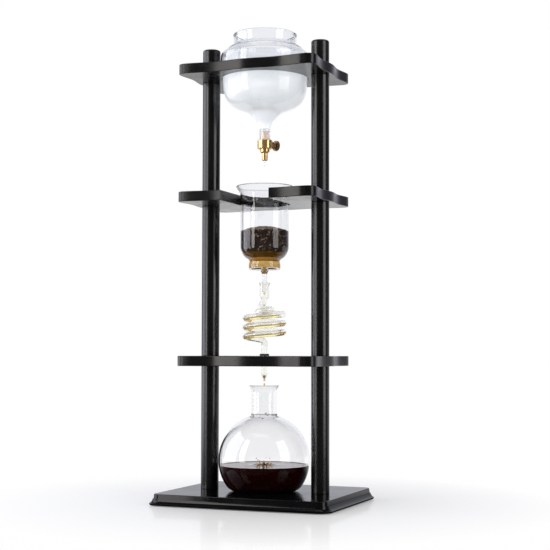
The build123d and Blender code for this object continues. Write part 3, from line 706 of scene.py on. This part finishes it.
def chamber_contents():
    inside = Cavity("coffee_chamber")
    chamber_brews(inside)
    grounds_bed(inside)
    z = OUTLET_BREW_Z
    outlet = [
        (0.0, z),
        (OUTLET_BREW_R - 0.0005, z + 0.0002),
        (OUTLET_BREW_R, z + 0.0015),
        (OUTLET_BREW_R, z + 0.0073),
        (0.0, z + 0.0075),
    ]
    new_object("outlet_brew", lathe(outlet, 32), AMBER, "chamber")
    drop("outlet_drop", 0.0013, 0.0036, OUTLET_DROP_Z, GOLDEN, "chamber")


def flask_coffee():
    wall = Cavity("receiving_flask").wall(COFFEE_FLOOR + 0.0004, COFFEE_LEVEL, 40)
    edge = wall[-1][0]
    level = COFFEE_LEVEL
    bottom = [(0.0, COFFEE_FLOOR), (wall[0][0] - 0.004, COFFEE_FLOOR)]
    climb = [(edge, level + 0.0006), (edge - 0.0006, level + 0.0002), (edge - 0.0022, level)]
    flat = [(edge * t, level) for t in (0.8, 0.6, 0.45)]
    centre = [(r, level + h) for r, h in RIPPLES]
    profile = bottom + wall + climb + flat + centre
    new_object("flask_coffee", lathe(profile, 144), COFFEE, "flask", 50.0)


def flask_mist():
    """Tiny beads condensed on the inside of the flask's shoulder, close under the neck."""
    inside = Cavity("receiving_flask")
    for i in range(SHOULDER_BEADS):
        a = 2 * math.pi * (i + random.uniform(0.1, 0.9)) / SHOULDER_BEADS
        z = random.uniform(*SHOULDER_ZONE)
        size = random.uniform(0.0009, 0.0015)
        reach = inside.radius(z) - size * 0.75
        bm = lathe(drop_profile(size, size * 1.8, z), 16, (reach * math.cos(a), reach * math.sin(a)))
        new_object(f"flask_bead_{i + 1}", bm, GREY_SHADED_BEAD, "flask", 60.0)


def arm_radius(t):
    """An arm's radius from its foot (0) to its tip (1): tapering, with a bead near the tip."""
    bead = 0.0006 * math.exp(-(((t - 0.88) / 0.12) ** 2))
    return 0.00115 * (1 - t) ** 1.5 + 0.00032 + bead


def splash_arm(name, a, lean, height):
    """One arm of the crown: leaning out at the angle a, thin, with a bead near its tip."""
    sides = 12
    count = 9
    foot = Vector((SPLASH_RADIUS * math.cos(a), SPLASH_RADIUS * math.sin(a), COFFEE_LEVEL - 0.0004))
    tip = foot + Vector((SPLASH_SPREAD * lean * math.cos(a), SPLASH_SPREAD * lean * math.sin(a), height))
    bm = bmesh.new()
    rings = []
    for k in range(count + 1):
        t = k / count
        middle = foot.lerp(tip, t) + Vector((0, 0, 0.0008 * math.sin(math.pi * t)))
        radius = arm_radius(t) if k < count else 0.0001
        ring = []
        for s in range(sides):
            b = 2 * math.pi * s / sides
            side = Vector((-math.sin(a), math.cos(a), 0)) * math.cos(b)
            out = Vector((math.cos(a), math.sin(a), 0)) * math.sin(b)
            ring.append(bm.verts.new(middle + (side + out) * radius))
        rings.append(ring)
    join_rings(bm, rings)
    new_object(name, bm, GOLDEN, "flask", 60.0)


def splash():
    """The crown thrown up where a drop lands: short arms in a ring, and loose beads."""
    for i in range(SPLASH_ARMS):
        a = 2 * math.pi * i / SPLASH_ARMS + random.uniform(-0.15, 0.15)
        lean = random.uniform(0.6, 1.0)
        height = random.uniform(0.0026, 0.0048)
        splash_arm(f"splash_arm_{i + 1}", a, lean, height)
    for i in range(SPLASH_BEADS):
        a = random.uniform(0, 2 * math.pi)
        reach = random.uniform(0.006, 0.0125)
        size = random.uniform(0.0005, 0.001)
        profile = drop_profile(size, size * 2.2, COFFEE_LEVEL + random.uniform(0.003, 0.0095))
        bm = lathe(profile, 20, (reach * math.cos(a), reach * math.sin(a)))
        new_object(f"splash_bead_{i + 1}", bm, GOLDEN, "flask", 60.0)


def coil_point(turn):
    """A point on the coil's centre line, counted in turns from its top at the right-hand side."""
    a = -2 * math.pi * turn
    top = COIL_FRONT_Z + COIL_PITCH / 4
    return Vector((COIL_R * math.cos(a), COIL_R * math.sin(a), top - COIL_PITCH * turn))


def liquid_ring(turn, fill, taper):
    """One section of the brew in the coil: up the wall of the bore, then back over the hollow surface."""
    wall_steps = 14
    surface_steps = 6
    radius = BORE_R + 0.00004
    half = math.acos(1 - 2 * fill)
    place = coil_point(turn)
    ahead = (coil_point(turn + 0.001) - coil_point(turn - 0.001)).normalized()
    side = ahead.cross(Vector((0, 0, 1))).normalized()
    up = side.cross(ahead).normalized()
    points = []
    for k in range(wall_steps + 1):
        b = -half + 2 * half * k / wall_steps
        offset = side * math.sin(b) * radius - up * math.cos(b) * radius
        points.append(place + offset * taper)
    level = -math.cos(half) * radius
    for k in range(1, surface_steps):
        s = 1 - 2 * k / surface_steps
        dip = level - MENISCUS * (1 - s * s)
        offset = side * math.sin(half) * radius * s + up * dip
        points.append(place + offset * taper)
    return points, wall_steps


def liquid_run(name, start, end, fill, steps, material):
    """Brew lying in the lower part of the coil between two turns, thin at both ends."""
    bm = bmesh.new()
    rings = []
    for i in range(steps + 1):
        turn = start + (end - start) * i / steps
        taper = min(1.0, 0.25 + 6 * min(i, steps - i) / steps)
        points, surface_from = liquid_ring(turn, fill, taper)
        rings.append([bm.verts.new(point) for point in points])
    join_rings(bm, rings, surface_from)
    obj = new_object(name, bm, material, "spiral", 45.0)
    # The free surface takes the second material, painted shade.
    obj.data.materials.append(MENISCUS_SHADE_AMBER)


def spiral_contents():
    """Thin brew along the front of each turn, gathered deep where the tube turns end-on."""
    for turn in range(3):
        liquid_run(f"coil_brew_{turn + 1}", turn + 0.03, turn + 0.47, 0.5, 60, PALE_AMBER)
        liquid_run(f"coil_pool_{turn + 1}", turn + 0.455, turn + 0.56, 0.7, 24, COIL_AMBER)
        if turn > 0:
            liquid_run(f"coil_bead_{turn + 1}", turn - 0.06, turn + 0.045, 0.62, 24, COIL_AMBER)
    tip_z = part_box("spiral_tube")[0][2]
    stem = [
        (0.0, tip_z + 0.0002),
        (0.0009, tip_z + 0.0004),
        (0.0019, tip_z + 0.0036),
        (0.0, tip_z + 0.0042),
    ]
    new_object("stem_brew", lathe(stem, 24), GOLDEN, "spiral")
    drop("tip_drop", 0.0015, 0.0038, tip_z - 0.0034, GOLDEN, "spiral")
    drop("falling_brew", 0.0012, 0.0034, tip_z - 0.0089, GOLDEN, "spiral")


def valve_drops():
    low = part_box("valve_nozzle")[0][2]
    drop("nozzle_drop", 0.0014, 0.0030, low - 0.0022, DROP, "vessel")
    drop("falling_drop", 0.0010, 0.0027, low - 0.0075, DROP, "vessel")


# ---------------------------------------------------------------- studio


def floor_material():
    """Pale grey under the object, white further out, with a faint mirror near the base.

    Reflections see it dark in front of the tower and bright behind it, like the studio."""
    g = Graph("studio_floor")
    g.set(Base_Color=(0.56, 0.56, 0.555, 1), Roughness=0.4, Specular_IOR_Level=0.3)
    distance = g.add("ShaderNodeVectorMath", operation="LENGTH")
    g.join(g.add("ShaderNodeTexCoord").outputs["Object"], distance.inputs[0])
    reach = distance.outputs["Value"]
    glow = g.add("ShaderNodeEmission", Strength=1.0, Color=(*WHITE, 1))
    fade = g.ramp(reach, 0.12, 1.0, *FLOOR_GLOW_ZONE)
    pale = g.mix_shaders(fade, g.bsdf.outputs["BSDF"], glow.outputs["Emission"])
    mirror = g.add("ShaderNodeBsdfAnisotropic", Color=(*WHITE, 1), Roughness=0.09)
    polished = g.mix_shaders(g.ramp(reach, 0.12, 0.0, *FLOOR_MIRROR_ZONE), pale, mirror.outputs["BSDF"])
    place = g.add("ShaderNodeNewGeometry").outputs["Position"]
    behind = g.maths("SUBTRACT", g.camera_depth("POINT", place), g.camera_depth("POINT"))
    glossy = g.add("ShaderNodeLightPath").outputs["Is Glossy Ray"]
    dimmed = g.maths("MULTIPLY", glossy, g.ramp(behind, 0.93, 0.0, *FLOOR_DIM_ZONE))
    dark = g.add("ShaderNodeEmission", Strength=0.0)
    g.show(g.mix_shaders(dimmed, polished, dark.outputs["Emission"]))
    return g.material


def floor():
    """A round floor far wider than the view."""
    bm = bmesh.new()
    middle = bm.verts.new((0, 0, 0))
    rings = []
    for radius in FLOOR_RINGS:
        ring = []
        for i in range(FLOOR_SIDES):
            a = 2 * math.pi * i / FLOOR_SIDES
            ring.append(bm.verts.new((radius * math.cos(a), radius * math.sin(a), 0)))
        rings.append(ring)
    for i in range(FLOOR_SIDES):
        j = (i + 1) % FLOOR_SIDES
        bm.faces.new((middle, rings[0][i], rings[0][j]))
        for low, high in zip(rings, rings[1:]):
            bm.faces.new((low[i], high[i], high[j], low[j]))
    new_object("studio_floor", bm, floor_material(), None)


def world():
    """White to the camera; reflections and refractions see a studio bright only behind the object.

    The direction is taken in camera space, so the backdrop stays opposite the camera from any side."""
    scene = bpy.context.scene
    scene.world = bpy.data.worlds.new("studio")
    scene.world.use_nodes = True
    g = Nodes(scene.world.node_tree)
    back = g.tree.nodes["Background"]
    path = g.add("ShaderNodeLightPath").outputs
    direction = g.add("ShaderNodeTexCoord").outputs["Generated"]
    depth = g.ramp(g.camera_depth("VECTOR", direction), 0.0, 1.0, -1.0, 1.0)
    studio = g.colours(depth, STUDIO_TONES)
    lift = g.maths("MULTIPLY", path["Is Transmission Ray"], REFRACTED_LIFT)
    refracted = g.blend(lift, studio, WHITE)
    lit = g.blend(path["Is Diffuse Ray"], refracted, DIFFUSE_SKY)
    g.join(g.blend(path["Is Camera Ray"], lit, WHITE), back.inputs["Color"])
    back.inputs["Strength"].default_value = 1.0


def soft_light(name, azimuth, distance, height, size, power, colour, aim):
    """A rectangular softbox that faces the tower's axis at the height it is aimed at."""
    lamp = bpy.data.lights.new(name, "AREA")
    lamp.shape = "RECTANGLE"
    lamp.size, lamp.size_y = size
    lamp.energy = power
    lamp.color = colour
    obj = bpy.data.objects.new(name, lamp)
    bpy.context.collection.objects.link(obj)
    a = math.radians(azimuth)
    obj.location = (distance * math.sin(a), -distance * math.cos(a), height)
    obj.rotation_euler = (Vector((0, 0, aim)) - obj.location).to_track_quat("-Z", "Y").to_euler()
    obj.visible_camera = False
    obj.visible_transmission = False


def lights():
    for softbox in SOFTBOXES:
        soft_light(*softbox)


def camera():
    data = bpy.data.cameras.new("camera")
    data.lens = CAMERA_LENS
    data.sensor_width = 36.0
    data.clip_start = 0.05
    obj = bpy.data.objects.new("camera", data)
    bpy.context.collection.objects.link(obj)
    flat = math.cos(CAMERA_PITCH)
    forward = Vector((-math.sin(CAMERA_YAW) * flat, math.cos(CAMERA_YAW) * flat, math.sin(CAMERA_PITCH)))
    right = Vector((math.cos(CAMERA_YAW), math.sin(CAMERA_YAW), 0))
    up = right.cross(forward)
    rolled_right = right * math.cos(CAMERA_ROLL) + up * math.sin(CAMERA_ROLL)
    rolled_up = rolled_right.cross(forward)
    turn = Matrix((rolled_right, rolled_up, -forward)).transposed()
    obj.matrix_world = Matrix.Translation(CAMERA_PLACE) @ turn.to_4x4()
    bpy.context.scene.camera = obj


dress_frame()
vessel_water()
ice_in_vessel()
chamber_contents()
flask_coffee()
flask_mist()
splash()
spiral_contents()
valve_drops()
floor()
world()
lights()
camera()
bpy.context.scene.view_settings.view_transform = "Standard"
